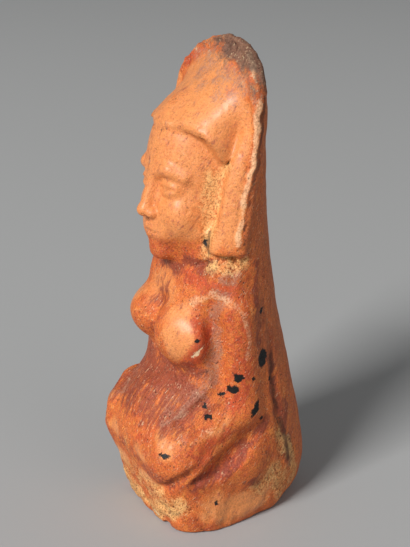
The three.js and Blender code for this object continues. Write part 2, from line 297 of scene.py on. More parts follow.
def arm(clay, hand):
    """Her shoulder, upper arm, forearm and hand. The right forearm and hand lie a little higher."""
    lift = 0 if hand > 0 else 5
    clay.add(limb((hand * 8, 2, 92), (hand * 19, 4.5, 83), 8, 7.6), 3.5)
    clay.add(limb((hand * 21.5, 4.5, 79), (hand * 22, 7, 46), 6.6, 6.4), 3.2)
    clay.add(limb((hand * 22.4, 7, 44.5), (hand * 22.4, -12, 36 + lift), 6, 5.2), 2.4)
    clay.add(limb((hand * 21.6, -13, 35.4 + lift), (hand * 18.8, -19.5, 31 + lift), 5.4, 5.2), 3)


def breast(clay, hand):
    """The right one lies a little higher and is less tall."""
    height, tall = (70.8, 11) if hand > 0 else (72.8, 9)
    clay.add(ellipsoid((hand * 11.4, -8, height), (11.8, 9, tall)), 4)
    clay.add(ellipsoid((hand * 8.6, -10, height + 0.3), (9.4, 9, tall - 0.6)), 3)


def lap_shape():
    belly = ellipsoid((0, -9, 35), (17, 17.5, 19))
    knees = [limb((hand * 17, 6, 24), (hand * 17.5, -15, 29), 12, 11) for hand in (1, -1)]

    def outside(points):
        left, right = (knee.outside(points) for knee in knees)
        return join(belly.outside(points), np.minimum(left, right), 5)

    return Shape(outside, (-30, -28, 10), (30, 19, 55))


class Clay:
    """How far points are outside the clay, built up shape by shape."""

    def __init__(self, points, margin=1.0):
        self.points = points
        self.margin = margin
        self.outside = join(back(points), self.all(cap_shape()), 6)

    def all(self, shape):
        return shape.outside(self.points)

    def near(self, shape, fillet):
        wide = fillet + self.margin
        low = (shape.low - wide)[:, None]
        high = (shape.high + wide)[:, None]
        return np.flatnonzero(((self.points > low) & (self.points < high)).all(0))

    def add(self, shape, fillet):
        near = self.near(shape, fillet)
        self.outside[near] = join(self.outside[near], shape.outside(self.points[:, near]), fillet)

    def cut(self, shape, fillet):
        near = self.near(shape, fillet)
        self.outside[near] = meet(self.outside[near], -shape.outside(self.points[:, near]), fillet)


class Flesh(Clay):
    """Her front and head, kept apart from the hood until both are whole."""

    def __init__(self, points, margin=1.0):
        self.points = points
        self.margin = margin
        self.outside = np.full(points.shape[1], 60.0)
        head(self)
        self.outside = join(front(points), self.outside, 6)


def outside_her(points, margin=1.0):
    clay = Clay(points, margin)
    clay.outside = join(clay.outside, Flesh(points, margin).outside, 1.5)
    clay.add(lap_shape(), 4)
    for hand in (1, -1):
        clay.add(lappet(hand), 2.4)
        breast(clay, hand)
        arm(clay, hand)
    for hand in (1, -1):
        clay.cut(groove(SEAM, hand, 2), 1.6)
        clay.cut(groove(ARMPIT, hand, 1.6), 5)
        clay.cut(groove(NECK, hand, 1.1), 2.4)
        clay.cut(groove(ARM_TOP, hand, 0.45), 1.2)
        clay.cut(groove(ARM_FOLD, hand, 1.4 if hand > 0 else 0.8), 1.6)
        clay.cut(groove(UNDER_ARM, hand, 4.2), 2.4)
        clay.cut(groove(UNDER_KNEE, hand, 1.5), 3)
        clay.cut(groove(CAP_GROOVE, hand, 0.7), 0.8)
    return meet(clay.outside, -points[2], 1.2)


# Surface: rays spread from a spine inside her, level up to the hood and then closing over its crown.

LEVELS = [(0.4, 10), (6, 54), (48, 56), (92, 90), (SPRING, 0)]  # height, rows up to the next
CROWN_ROWS = 30
FRONT_COLUMNS = 138
BACK_COLUMNS = 58
UNDER_ROWS = 10
REACH = 46.0


def unit(vectors):
    return vectors / np.linalg.norm(vectors, axis=-1, keepdims=True)


def between(a, b, shares):
    """Turns from one direction to another, by shares of the way."""
    angle = np.arccos(np.clip(a @ b, -1, 1))
    shares = np.atleast_1d(shares)[:, None]
    return (np.sin((1 - shares) * angle) * a + np.sin(shares * angle) * b) / np.sin(angle)


def ring_rays(ahead, rims, behind, columns):
    t = np.arange(columns[0]) / columns[0]
    front_shares = t - 0.035 * np.sin(2 * np.pi * t)
    back_shares = (np.arange(columns[1]) / columns[1]) ** 1.25
    left, right = (
        np.vstack([between(ahead, rim, front_shares), between(rim, behind, back_shares)]) for rim in rims
    )
    return np.vstack([left, behind[None], right[:0:-1]])


def level_rays(height, columns):
    origin = np.array([0, spine(height), height])
    rims = []
    for hand in (1, -1):
        rim = unit(np.array([hand * side(height), widest(height) - origin[1], 0]))
        share = max(float(smooth(height, 88, 104)), 0.001)
        rims.append(between(np.array([hand, 0.0, 0.0]), rim, share)[0])
    return origin, ring_rays(np.array([0, -1.0, 0]), rims, np.array([0, 1.0, 0]), columns)


CROWN = np.array([0, float(spine(SPRING)), SPRING])
APEX = unit(np.array([LEAN, float(widest(TALL)) + 2 - CROWN[1], TALL - SPRING]))


def crown_rays(turn, columns):
    angle = turn * np.pi / 2
    rise = np.sin(angle)
    height = SPRING + (TALL - SPRING) * rise
    rims = []
    for hand in (1, -1):
        across = hand * side(height) * np.cos(angle) + LEAN * rise
        rims.append(unit(np.array([across, widest(height) - CROWN[1], height - SPRING])))
    ahead = between(np.array([0, -1.0, 0]), APEX, turn)[0]
    behind = between(np.array([0, 1.0, 0]), APEX, turn)[0]
    return CROWN, ring_rays(ahead, rims, behind, columns)


def surface_points(origins, rays):
    """Where the rays leave her, found by walking in from outside and then halving."""
    reach = np.full(origins.shape[1], REACH)
    walking = np.arange(len(reach))
    while len(walking):
        reach[walking] -= 1
        points = origins[:, walking] + rays[:, walking] * reach[walking]
        walking = walking[(outside_her(points) > 0) & (reach[walking] > 1)]
    low = reach
    high = reach + 1
    for _ in range(8):
        middle = (low + high) / 2
        beyond = outside_her(origins + rays * middle) > 0
        high = np.where(beyond, middle, high)
        low = np.where(beyond, low, middle)
    return origins + rays * (low + high) / 2


def slope_of(points, step=0.06, margin=1.0):
    """How far outside points are, and which way is out."""
    here = outside_her(points, margin)
    slope = np.empty_like(points)
    for axis in range(3):
        moved = points.copy()
        moved[axis] += step
        slope[axis] = (outside_her(moved, margin) - here) / step
    size = np.maximum(np.sqrt((slope**2).sum(0)), 0.2)
    return here / size, slope / size


def relaxed(grid, rounds):
    """Evens out the spacing of a grid of points, rows by columns, and keeps them on her surface."""
    for _ in range(rounds):
        mean = grid.copy()
        mean[:, 1:-1] = (grid[:, :-2] + grid[:, 2:]) / 2
        mean += (np.roll(grid, 1, 2) + np.roll(grid, -1, 2)) / 2
        pull = mean / 2 - grid
        pull[:, (0, -1)] = 0
        flat = grid.reshape(3, -1)
        outside, out = slope_of(flat)
        pull = pull.reshape(3, -1)
        pull -= out * (out * pull).sum(0)
        grid = (flat + 0.6 * pull - out * outside).reshape(grid.shape)
    return grid


def sculpted_grid():
    fine = 1.0
    columns = (int(FRONT_COLUMNS * fine), int(BACK_COLUMNS * fine))
    rings = []
    for (low, rows), (high, _) in zip(LEVELS[:-1], LEVELS[1:]):
        rows = int(rows * fine)
        rings += [level_rays(low + (high - low) * i / rows, columns) for i in range(rows)]
    rings.append(level_rays(SPRING, columns))
    crown_rows = int(CROWN_ROWS * fine)
    rings += [crown_rays(i / (crown_rows + 1), columns) for i in range(1, crown_rows + 1)]
    wide = len(rings[0][1])
    origins = np.vstack([np.repeat(origin[None], wide, 0) for origin, _ in rings]).T
    rays = np.vstack([rays for _, rays in rings]).T
    grid = surface_points(origins, rays).reshape(3, len(rings), wide)
    return relaxed(grid, 20)


# Wear: soft random lumps, dimples and the masks that the clay's colours follow, painted shade and painted
# highlights among them

TWIST = np.array([[0.80, 0.36, -0.48], [-0.60, 0.48, -0.64], [0.0, 0.80, 0.60]])  # off her own axes
PITS = 520


def lumps(points, size, seed):
    """Soft random lumps of about a size, from about -1 to 1. A size of three numbers stretches them."""
    rng = np.random.default_rng(seed)
    lattice = rng.uniform(-1, 1, (32, 32, 32))
    size = np.broadcast_to(np.asarray(size, float), 3)[:, None]
    place = points / size + rng.uniform(0, 32, 3)[:, None]
    if np.ptp(size) == 0:
        place = TWIST @ place
    low = np.floor(place).astype(int)
    t = place - low
    t = t * t * t * (t * (6 * t - 15) + 10)
    total = np.zeros(points.shape[1])
    for corner in np.ndindex(2, 2, 2):
        step = np.array(corner)[:, None]
        weight = np.where(step == 1, t, 1 - t).prod(0)
        total += weight * lattice[tuple((low + step) % 32)]
    return total * 1.6


def dimples(points, places, radii, depths):
    """How deep small hollows at some places go, at each point."""
    deep = np.zeros(points.shape[1])
    for place, radius, depth in zip(places, radii, depths):
        near = np.flatnonzero((np.abs(points - place[:, None]) < radius).all(0))
        gap = ((points[:, near] - place[:, None]) ** 2).sum(0) / radius**2
        deep[near] = np.maximum(deep[near], depth * np.clip(1 - gap, 0, 1) ** 1.5)
    return deep


def worn_surface(points, out):
    """Her moulded and handled surface: uneven skin, brushed lap, eroded crown and rim, pits and chips."""
    x, y, z = points
    skin = 0.16 * lumps(points, 13, 2) + 0.1 * lumps(points, 5.5, 3) + 0.04 * lumps(points, 2.2, 4)
    calm = 1 - 0.75 * on_face(points)
    lift = skin * calm

    # The eroded crown, and the hood's rim with its bead and chips
    crown = smooth(z + 2.5 * lumps(points, 5, 1), 157, 165)
    lift -= crown * (0.25 + 0.6 * np.maximum(lumps(points, 3.4, 5), 0) + 0.3 * lumps(points, 1.6, 6))
    lift += 0.35 * strokes(tight(points), RIM)
    chipped = smooth(np.abs(x) + 2 * lumps(points, 4, 12), 22, 27) * smooth(z, 144, 152) * smooth(y, 5, 8)
    lift -= chipped * (0.5 * np.maximum(lumps(points, 2.4, 13), 0) + 0.2 * lumps(points, 1.4, 14))

    # Brush marks that run down and forward over the lap
    down = np.array([x, 0.57 * y + 0.82 * z, 0.57 * z - 0.82 * y])
    brushed = lumps(down, (2.2, 14, 2.0), 7) + 0.6 * lumps(down, (1.3, 8, 1.2), 8)
    lap = smooth(60 - z, 0, 10) * smooth(z, 20, 30) * smooth(-y, 0, 8)
    lift += 0.16 * lap * brushed

    # The uneven foot, knocked at the front
    low = smooth(18 - z, 0, 14)
    lift += low * (0.25 * lumps(points, 7, 9) + 0.14 * lumps(points, 3, 10))
    lift -= 0.8 * low * smooth(-y, 12, 18) * np.maximum(lumps(points, 3.2, 15), 0)

    # Small pits anywhere, and the deeper hollows
    rng = np.random.default_rng(11)
    pits = rng.integers(0, points.shape[1], PITS)
    radii = rng.uniform(0.45, 1.2, PITS)
    lift -= dimples(points, points[:, pits].T, radii, 0.3 * radii * rng.uniform(0.4, 1, PITS)) * calm
    hollows = np.array(HOLLOWS)
    lift -= dimples(points, hollows[:, :3], hollows[:, 3], hollows[:, 4])
    return points + out * lift


def tight(points):
    """The points moved a little at random, so that a thin line drawn by them wavers."""
    return points + 0.5 * np.array([lumps(points, 4, seed) for seed in (34, 35, 36)])


def on_face(points):
    x, y, z = points
    return smooth(z, 96, 100) * smooth(141 - z, 0, 2) * smooth(2 - y, 0, 6) * smooth(19 - np.abs(x), 0, 4)


# Brush strokes of each colour on her left, mirrored on her right: strength, half width and line
# Pale peach tone of the lappets, lap and chest, and painted highlights on the breasts' upper sides, the
# forearm ridges and the lower sides of the foot
PALE_AND_HIGHLIGHT = [
    (1.0, 6, [(25, 6, 152), (24.5, 3, 132), (23.5, -1, 114), (21.5, -4, 105)]),
    (1.0, 9, [(15, -14, 79), (18, -13.5, 76), (17, -15, 69)]),
    (0.8, 5, [(18, -22, 38), (23, -22, 35)]),
    (0.8, 5, [(8, -25, 30), (16, -24, 28)]),
    (0.9, 9, [(27, -6, 10), (26.5, 2, 9), (25, 12, 8)]),
    (0.9, 5, [(6, -25, 18), (14, -24, 18)]),
    (0.7, 8, [(0, -11, 90), (8, -11, 82)]),
    (0.8, 4, [(26.5, -3, 42), (27.5, -8, 38)]),
]
RUDDY = [
    (0.45, 7, [(3, -17, 101), (12, -11, 101), (16, -6, 102)]),
    (0.9, 5, [(13, -8.5, 92), (19, -6, 90.5), (25, 0, 89)]),
    (1.3, 6, [(21.5, -8.5, 77), (22.5, -8.5, 70), (20, -11, 63)]),
    (0.8, 6, [(26.5, 1, 83), (28, 4, 70), (27.5, 4, 57), (27.5, 3, 46)]),
    (0.9, 5, [(26, 2, 42), (27.3, -5, 37), (28, -10, 34), (25, -18, 31)]),
    (0.8, 6, [(27, 6, 28), (27, -4, 24), (26, -13, 21)]),
    (0.6, 5, [(0, -24, 37), (8, -24, 36)]),
    (0.8, 4, [(19, 6, 150), (17, 6.5, 158), (12, 8, 164)]),
]
# Plum tone over the lap and foot, and painted shade under the breasts, between them, under the chin, in the
# under-arm valleys and down the seams
PURPLE_AND_SHADE = [
    (1.3, 10, [(0, -16, 54), (6, -16, 54), (15, -12, 53), (19, -11, 49)]),
    (1.0, 11, [(0, -22, 46), (6, -22, 46), (14, -19, 44), (18, -17, 42)]),
    (0.6, 5, [(4, -26, 27), (14, -24, 24), (20, -23, 23), (26, -18, 24)]),
    (1.0, 5, [(0, -13, 57), (9, -13, 59), (16, -11, 60.5), (20, -7, 60)]),
    (0.8, 5, [(1, -12, 66), (2, -12, 76), (1, -11.6, 86)]),
    (1.2, 5, [(0, -11, 94), (8, -10, 94), (14, -6.5, 96.5), (19, -2, 98.5)]),
    (1.1, 4.5, [(27, 15, 38), (27.5, 8, 32), (28, -0.6, 26), (27.5, -7.6, 22), (26, -13, 20)]),
    (1.2, 4, [(25.6, 10, 96), (25.4, 12, 80), (25.4, 13, 64)]),
    (0.9, 4, [(21, 24, 34), (22, 27, 22)]),
    (1.0, 3.5, [(25.5, 6, 19), (26, 12, 17)]),
    (0.9, 3, [(17, -21, 10), (21, -19, 9)]),
    (1.2, 5, [(22, 18, 71), (23.6, 19.4, 50), (23.2, 23.7, 31.6), (22, 27, 20)]),
]
BUFF = [
    (1.0, 6, [(20, 1, 130), (17.5, -1.5, 124), (16.8, -2.5, 116), (16.6, -3, 109), (17, -4, 104)]),
    (1.0, 5, [(19, -4, 98.4), (23, 0.5, 98.6), (26, 4, 99)]),
    (1.2, 8, [(0, -22, 4), (8, -22, 5), (16, -21, 8), (21, -18, 12)]),
    (1.0, 6, [(24, 20, 32), (21, 29, 20), (20, 31, 9)]),
    (0.9, 8, [(26, 14, 14), (25, 20, 18), (23, 24, 8)]),
    (0.9, 4, [(8, -24, 12), (15, -22.5, 12)]),
    (0.8, 5, [(2, -25, 14), (10, -24, 17), (16, -23, 15)]),
    (0.7, 6, [(0, -25, 33), (-2, -26, 26), (0, -25, 18)]),
]
DUST = [
    (1.0, 4.6, [(22.5, -2.5, 87), (21, -3, 80), (20.6, -3.3, 68), (21, -3, 57), (20.5, -7, 51)]),
    (1.0, 2.6, [(21.5, -8, 50.5), (20, -11, 48.5), (18, -16.5, 43.5), (15.5, -21, 40.5)]),
    (0.9, 4, [(25, 0, 93), (25.5, 3, 96)]),
    (0.7, 5, [(20, -16, 38), (24, -17, 36)]),
    (0.55, 7, [(21, -6, 60), (19, -12, 52), (14, -18, 46)]),
]
RIM = [
    (0.9, 1.8, [(20, 9, 165.6), (24.6, 8.4, 162), (27.6, 8, 156), (28.4, 8, 149), (28.2, 7.6, 141)]),
    (0.8, 1.8, [(28.2, 7.6, 141), (28, 7, 133), (27.8, 5, 126), (27.6, 3.4, 118), (27.4, 1.6, 106)]),
]
# Rubbed wear, with painted highlights along the hood's rim, the cap's edge and the forearm ridges
WORN_AND_HIGHLIGHT = RIM + [
    (0.6, 1.4, [(4, -12.9, 142.8), (9, -11.4, 143.2), (13.5, -9.2, 142.8), (17, -6.4, 140.6)]),
    (0.6, 1.4, [(17, -6.4, 140.6), (18.6, -4, 138)]),
    (0.6, 3, [(17, -9, 84.5), (20.4, -6.3, 87), (22, -4.6, 88), (24.7, -1.5, 87), (26.8, 0.6, 84.6)]),
    (0.5, 2.6, [(26.8, 0.6, 84.6), (28.2, 3.4, 81), (28.6, 6, 75), (28.4, 6.6, 66)]),
    (1.0, 2, [(5, -23, 3), (12, -22.5, 4), (18, -20, 7)]),
    (0.45, 3, [(20, -20, 37), (26, -14, 38), (27.5, -8, 41)]),
]
HOLLOWS = [  # places with their radius and depth
    (17.7, -5.8, 139.3, 1.6, 0.7), (17.2, -4.4, 105.6, 2.2, 0.9), (16.4, -4.8, 108.6, 1.5, 0.6),
    (26, 5, 99.4, 2, 0.6), (13.4, -9.6, 118.6, 0.8, 0.3), (14.6, -10, 115.4, 0.8, 0.3),
    (21.8, -11.2, 67.1, 1, 0.4), (22.6, -9.6, 69.4, 1, 0.4), (22.4, -10.7, 72.7, 0.9, 0.3),
    (-4.7, -12.5, 141.1, 1.8, 0.6), (-0.6, -7.1, 150.1, 1.2, 0.3), (12.1, 2, 156, 1.4, 0.25),
]
# Painted shade: dark lines where shade falls, along grooves, creases, under overhangs and in pits; strength,
# half width and line
PAINTED_SHADE_LINES = [
    (1.0, 1.5, [(17.3, -6.4, 139.6), (18.2, -5, 138.8)]),
    (0.9, 1.8, [(-5.6, -12, 141), (-4, -12.6, 141)]),
    (0.8, 1, [(-1.4, -7.3, 149.4), (0.2, -7, 150.6)]),
    (0.7, 1.2, [(11.4, 1.6, 156), (12.8, 2.4, 156.2)]),
    (0.8, 1, [(13.4, -9.6, 119.4), (14.2, -9.8, 116.6)]),
    (1.0, 1.2, [(8, -12, 141), (13.5, -9, 140.6), (17.4, -5.4, 137.2), (19.4, -1, 132), (21.8, 4, 134.6)]),
    (1.0, 2.2, [(17.3, -3, 108), (17.5, -4.6, 104), (19, -5, 101.5)]),
    (0.8, 1.6, [(20, -4.4, 101), (24, -0.5, 101), (27, 3, 101.4)]),
    (1.1, 2.4, [(22.6, 18.6, 62), (23.6, 19.4, 50), (23.6, 21.5, 40), (23.2, 23.7, 31.6), (22, 27, 20)]),
    (0.9, 1.4, [(27.5, -15.6, 27), (25, -20, 23.4), (17, -22.6, 17.4)]),
    (0.75, 2.4, [(27.5, 13, 39), (28.4, 6, 33.5), (28.6, -2, 28.4), (27.4, -9, 24.4), (25.4, -15, 21.6)]),
    (0.8, 1.4, [(10, -14, 57.5), (17, -11, 58.5), (21, -6, 60)]),
    (1.2, 1.5, [(27.8, 9.8, 156), (28.4, 9.6, 149), (28.5, 9.2, 141), (28.2, 8.4, 133), (28, 6.6, 126)]),
    (1.0, 1.3, [(28, 6.6, 126), (27.9, 5, 118), (27.6, 3.2, 106)]),
]


def strokes(points, paint):
    """How strongly soft brush strokes cover the clay at each point."""
    x, y, z = points
    place = np.array([np.abs(x), y, z])
    cover = np.zeros(len(x))
    for strength, half, line in paint:
        parts = [limb(a, b, 0).outside(place) for a, b in zip(line[:-1], line[1:])]
        cover = np.maximum(cover, strength * (1 - smooth(np.minimum.reduce(parts), 0.2 * half, half)))
    return cover


def masks(points, out):
    """Shares from 0 to 1 that say where each look of the clay lies, painted shade and painted highlights
    among them.
    """
    x, y, z = points
    features = on_face(points)
    # How closely the clay lies all round each point, which sets painted shade in creases and hollows
    hollow = np.clip(1 - outside_her(points + out, 3), 0, 1)  # 1 mm out of a hollow is still near the clay
    loose = points + 1.5 * np.array([lumps(points, 5, seed) for seed in (31, 32, 33)])
    wavering = tight(points)
    cap = smooth(2.5 - cap_shape().outside(points), 0, 2.5)
    face = smooth(z, 99, 109) * smooth(144 - z, 0, 4) * smooth(6 - y, 0, 4)
    rim = np.interp(z, (60, 98, 104, 118, 130, 170), (9, 8, 2.4, 4.6, 7.2, 10)) + 1.6 * lumps(points, 6, 37)
    fade = np.interp(z, (90, 104), (5, 1.4))
    wall = smooth(y - rim, -0.6, fade) * smooth(z, 20, 80) * smooth(172 - z, 0, 12)
    crown = z + 3 * lumps(points, 5, 23) + 0.3 * (x - 10)
    return {
        # pale: the cap, face and pale tone, with painted highlights; it also sets the gloss
        "pale": np.maximum(strokes(loose, PALE_AND_HIGHLIGHT), np.maximum(cap, 0.85 * face)) * (1 - wall),
        "ruddy": strokes(loose, RUDDY) * (1 - wall),
        # purple: plum tone, with painted shade under the breasts, chin and arms
        "purple_and_shade": strokes(loose, PURPLE_AND_SHADE),
        "brown": wall,
        "buff": strokes(loose, BUFF),
        "dust": np.maximum(strokes(loose, DUST), 0.8 * bump(crown, 159, 5)),
        "soot": smooth(crown, 158, 168),
        # worn: rubbed wear, with painted highlights along ridges and edges
        "worn_and_highlight": strokes(wavering, WORN_AND_HIGHLIGHT),
        # deep: painted shade along grooves and in hollows, lighter on the face
        "deep": np.maximum(strokes(wavering, PAINTED_SHADE_LINES), smooth(hollow, 0.35, 0.95) * (1 - 0.6 * features)),
    }


def faces(rows, wide):
    """Faces over rows of points, closed round, with a first point below them and a last one above."""
    row = np.arange(rows - 1)[:, None] * wide + 1
    here = np.arange(wide)[None]
    following = (here + 1) % wide
    quads = np.stack([row + here, row + following, row + wide + following, row + wide + here], -1)
    below = np.stack([np.zeros(wide, int), 1 + following[0], 1 + here[0]], -1)
    last = 1 + (rows - 1) * wide
    above = np.stack([last + here[0], last + following[0], np.full(wide, last + wide)], -1)
    return quads.reshape(-1, 4).tolist() + below.tolist() + above.tolist()


def figurine_mesh():
    grid = sculpted_grid()
    rows, wide = grid.shape[1:]
    centre = np.array([0, float(spine(0)), 0])
    shares = np.linspace(0, 1, UNDER_ROWS + 1)[1:-1]
    under = centre[:, None, None] + (grid[:, :1] - centre[:, None, None]) * shares[None, :, None]
    under[2] = 0
    apex = surface_points(CROWN[:, None], APEX[:, None])
    flat = np.hstack([grid.reshape(3, -1), apex])
    _, out = slope_of(flat)
    out = unit(out.T).T
    looks = masks(flat, out)
    flat = worn_surface(flat, out)
    flat[2] = np.where(flat[2] < 0.6, np.maximum(flat[2], 0), flat[2])
    points = np.hstack([centre[:, None], under.reshape(3, -1), flat])
    before = points.shape[1] - flat.shape[1]
    points[2] = np.maximum(points[2], 0)
    points[1] -= MIDDLE
    mesh = bpy.data.meshes.new("figurine_clay")
    mesh.from_pydata((points.T * MM).tolist(), [], faces(rows + UNDER_ROWS - 1, wide))
    mesh.polygons.foreach_set("use_smooth", np.ones(len(mesh.polygons), bool))
    for name, share in looks.items():
        layer = mesh.attributes.new(name, "FLOAT", "POINT")
        whole = np.concatenate([np.full(before, 1.0 if name == "buff" else 0.0), share])
        layer.data.foreach_set("value", whole.astype(np.float32))
    return mesh


# Materials


class Wire:
    """A value in a material, so that sums on it read as plain expressions."""

    def __init__(self, sheet, socket):
        self.sheet = sheet
        self.socket = socket

    def sum(self, operation, *values):
        return self.sheet.node("ShaderNodeMath", {"operation": operation}, dict(enumerate(values)))

    def __add__(self, other):
        return self.sum("ADD", self, other)

    def __sub__(self, other):
        return self.sum("SUBTRACT", self, other)

    def __rsub__(self, other):
        return self.sum("SUBTRACT", other, self)

    def __mul__(self, other):
        return self.sum("MULTIPLY", self, other)

    __radd__ = __add__
    __rmul__ = __mul__

    def least(self, other):
        return self.sum("MINIMUM", self, other)

    def between(self, low, high):
        """Rises smoothly from 0 at low to 1 at high."""
        settings = {"interpolation_type": "SMOOTHSTEP"}
        sockets = {"Value": self, "From Min": low, "From Max": high}
        return self.sheet.node("ShaderNodeMapRange", settings, sockets)


class Sheet:
    """A material's node tree."""

    def __init__(self, name):
        self.material = bpy.data.materials.new(name)
        self.material.use_nodes = True
        self.tree = self.material.node_tree
        self.shader = self.tree.nodes["Principled BSDF"]
        self.place = self.node("ShaderNodeTexCoord", {}, {}, "Object")

    def node(self, kind, settings, sockets, output=0):
        made = self.tree.nodes.new(kind)
        for name, value in settings.items():
            setattr(made, name, value)
        for key, value in sockets.items():
            self.join(made.inputs[key], value)
        return Wire(self, made.outputs[output])

    def join(self, socket, value):
        if isinstance(value, Wire):
            self.tree.links.new(value.socket, socket)
        else:
            socket.default_value = value

    def set(self, **values):
        for name, value in values.items():
            self.join(self.shader.inputs[name.replace("_", " ")], value)

    def mask(self, name):
        return self.node("ShaderNodeAttribute", {"attribute_name": name}, {}, "Fac")

    def mix(self, share, a, b, blend="MIX"):
        settings = {"data_type": "RGBA", "blend_type": blend}
        return self.node("ShaderNodeMix", settings, {0: share, 6: a, 7: b}, 2)

    def noise(self, size, detail=3.0, rough=0.5, place=None, output="Fac"):
        """Noise with features of about a size in millimetres."""
        sockets = {
            "Vector": place or self.place,
            "Scale": 1 / (size * MM),
            "Detail": detail,
            "Roughness": rough,
        }
        return self.node("ShaderNodeTexNoise", {}, sockets, output)

    def swing(self, size, detail=4.0, rough=0.6, place=None):
        """The same noise, swinging about 0 by half either way."""
        return (self.noise(size, detail, rough, place) - 0.5) * 2.6

    def turned(self, turn, scale=(1, 1, 1)):
        """The place, turned and then scaled. A small scale along an axis draws a pattern out into streaks."""
        place = self.node("ShaderNodeMapping", {}, {"Vector": self.place, "Rotation": turn})
        return self.node("ShaderNodeMapping", {}, {"Vector": place, "Scale": scale})

    def specks(self, size):
        """1 in small round specks that lie about a size apart."""
        sockets = {"Vector": self.place, "Scale": 1 / (size * MM)}
        gap = self.node("ShaderNodeTexVoronoi", {}, sockets, "Distance")
        return 1 - gap.between(0.1, 0.22)

    def blots(self, places):
        """1 in ragged blots, each with its place in her own frame, its half sizes and its turn about x."""
        shift = self.noise(1.6, 5, 0.75, output="Color")
        sockets = {0: shift, 1: (RAGGED * MM,) * 3, 2: self.place}
        wander = self.node("ShaderNodeVectorMath", {"operation": "MULTIPLY_ADD"}, sockets)
        reach = None
        for place, half, turn in places:
            centre = np.array(place) + RAGGED / 2 - (0, MIDDLE, 0)
            sockets = {
                "Vector": wander,
                "Location": (centre * MM).tolist(),
                "Rotation": (turn, 0, 0),
                "Scale": (np.array(half) * MM).tolist(),
            }
            local = self.node("ShaderNodeMapping", {"vector_type": "TEXTURE"}, sockets)
            gap = self.node("ShaderNodeVectorMath", {"operation": "LENGTH"}, {0: local}, "Value")
            reach = gap if reach is None else reach.least(gap)
        return 1 - reach.between(0.9, 1.1)


def tint(red, green, blue):
    """A colour as a display shows it, 0 to 255, made linear."""
    shown = np.array([red, green, blue]) / 255
    linear = np.where(shown <= 0.04045, shown / 12.92, ((shown + 0.055) / 1.055) ** 2.4)
    return (*linear.tolist(), 1.0)


ORANGE = tint(226, 120, 56)
EMBER = tint(206, 94, 42)
PEACH = tint(240, 154, 88)
RED = tint(206, 80, 42)
PLUM = tint(138, 62, 44)
UMBER = tint(136, 56, 30)
SAND = tint(232, 184, 116)
AMBER = tint(242, 152, 70)
MADDER = tint(160, 58, 40)
CREAM = tint(250, 222, 176)
HONEY = tint(248, 196, 148)
ROSE = tint(188, 96, 78)
RUST = tint(206, 112, 60)
ROSE_GREY = tint(170, 122, 98)
# Dark brown for painted shade in creases, and for the soot and dark specks
SHADE_AND_SPECK_BROWN = tint(70, 38, 26)
ASH = tint(104, 92, 80)
BLACK = tint(16, 14, 13)

RAGGED = 4.0  # how far the edges of a blot stray, in all

# Black mineral blots and cream chips: place, half sizes and turn about x
BLOTS = [
    ((24.4, 13.1, 62.5), (3, 2.6, 3.4), 0),
    ((27.5, 2.6, 58.4), (3, 1.6, 1.7), 0),
    ((26.6, 1.0, 54.0), (3, 2.2, 1.7), 0),
    ((28.7, 8.8, 45.9), (3, 1.4, 3.2), -0.5),
    ((22.1, -22.7, 33.3), (3, 2.2, 1.1), 0),
    ((23.8, 12.8, 80), (3, 0.8, 1.2), 0),
    ((23.3, 17.4, 53.7), (3, 0.7, 1), 0),
    ((27.8, 8.4, 56.9), (2, 0.7, 0.7), 0),
    ((23.6, -1.6, 51.8), (2, 1.3, 0.7), 0),
    ((24.6, -7.6, 44.9), (2, 1.3, 0.8), 0),
    ((22.8, -7.8, 48.3), (2, 0.9, 0.7), 0),
    ((25.8, 12.8, 40.4), (2, 0.7, 0.7), 0),
    ((26.4, -5.3, 12.2), (2, 0.8, 0.9), 0),
    ((22.4, -10.7, 72.7), (2, 0.8, 0.9), 0),
    ((17.2, -4.6, 104.6), (2, 0.9, 1.6), 0),
]
CHIPS = [
    ((21.8, -11.2, 67.1), (2, 0.7, 1.8), -0.9),
    ((22.4, -9.7, 69.2), (2, 0.45, 1.6), -0.9),
    ((-1.8, -12.8, 66.2), (3, 1, 2.2), 0.3),
    ((9.4, -22, 3), (3, 2.4, 1.6), 0),
]


